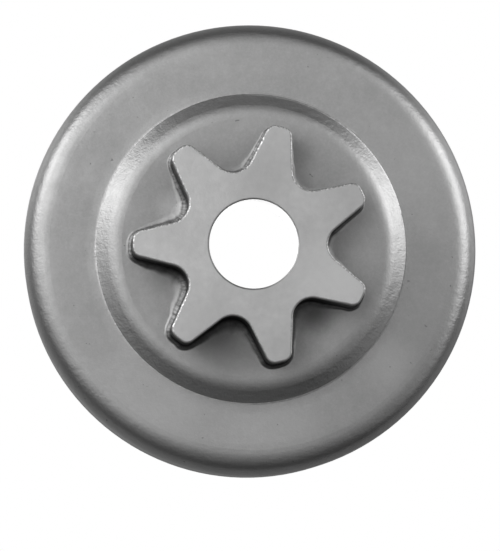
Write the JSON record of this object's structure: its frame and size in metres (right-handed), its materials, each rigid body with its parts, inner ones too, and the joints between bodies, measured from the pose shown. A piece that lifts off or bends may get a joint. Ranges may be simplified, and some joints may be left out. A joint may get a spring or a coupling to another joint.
{
  "type": "chainsaw clutch drum with spur sprocket",
  "caption": "Pressed steel clutch drum with a spur sprocket brazed on its closed face and a plain bore for a needle cage; drives the chain of a small saw.",
  "frame": {"origin": "centre of the open rim, on the plane of its edge", "axes": "+Z along the bore axis, from the open rim to the sprocket; a tooth gap points along +X"},
  "size_m": [0.067, 0.067, 0.0257],
  "materials": {
    "drum_steel": "satin, tumbled pressed sheet",
    "sprocket_steel": "satin, faced top, darker flanks"
  },
  "bodies": {
    "root": {"clutch_drum": "drum_steel", "spur_sprocket": "sprocket_steel"}
  },
  "joints": []
}
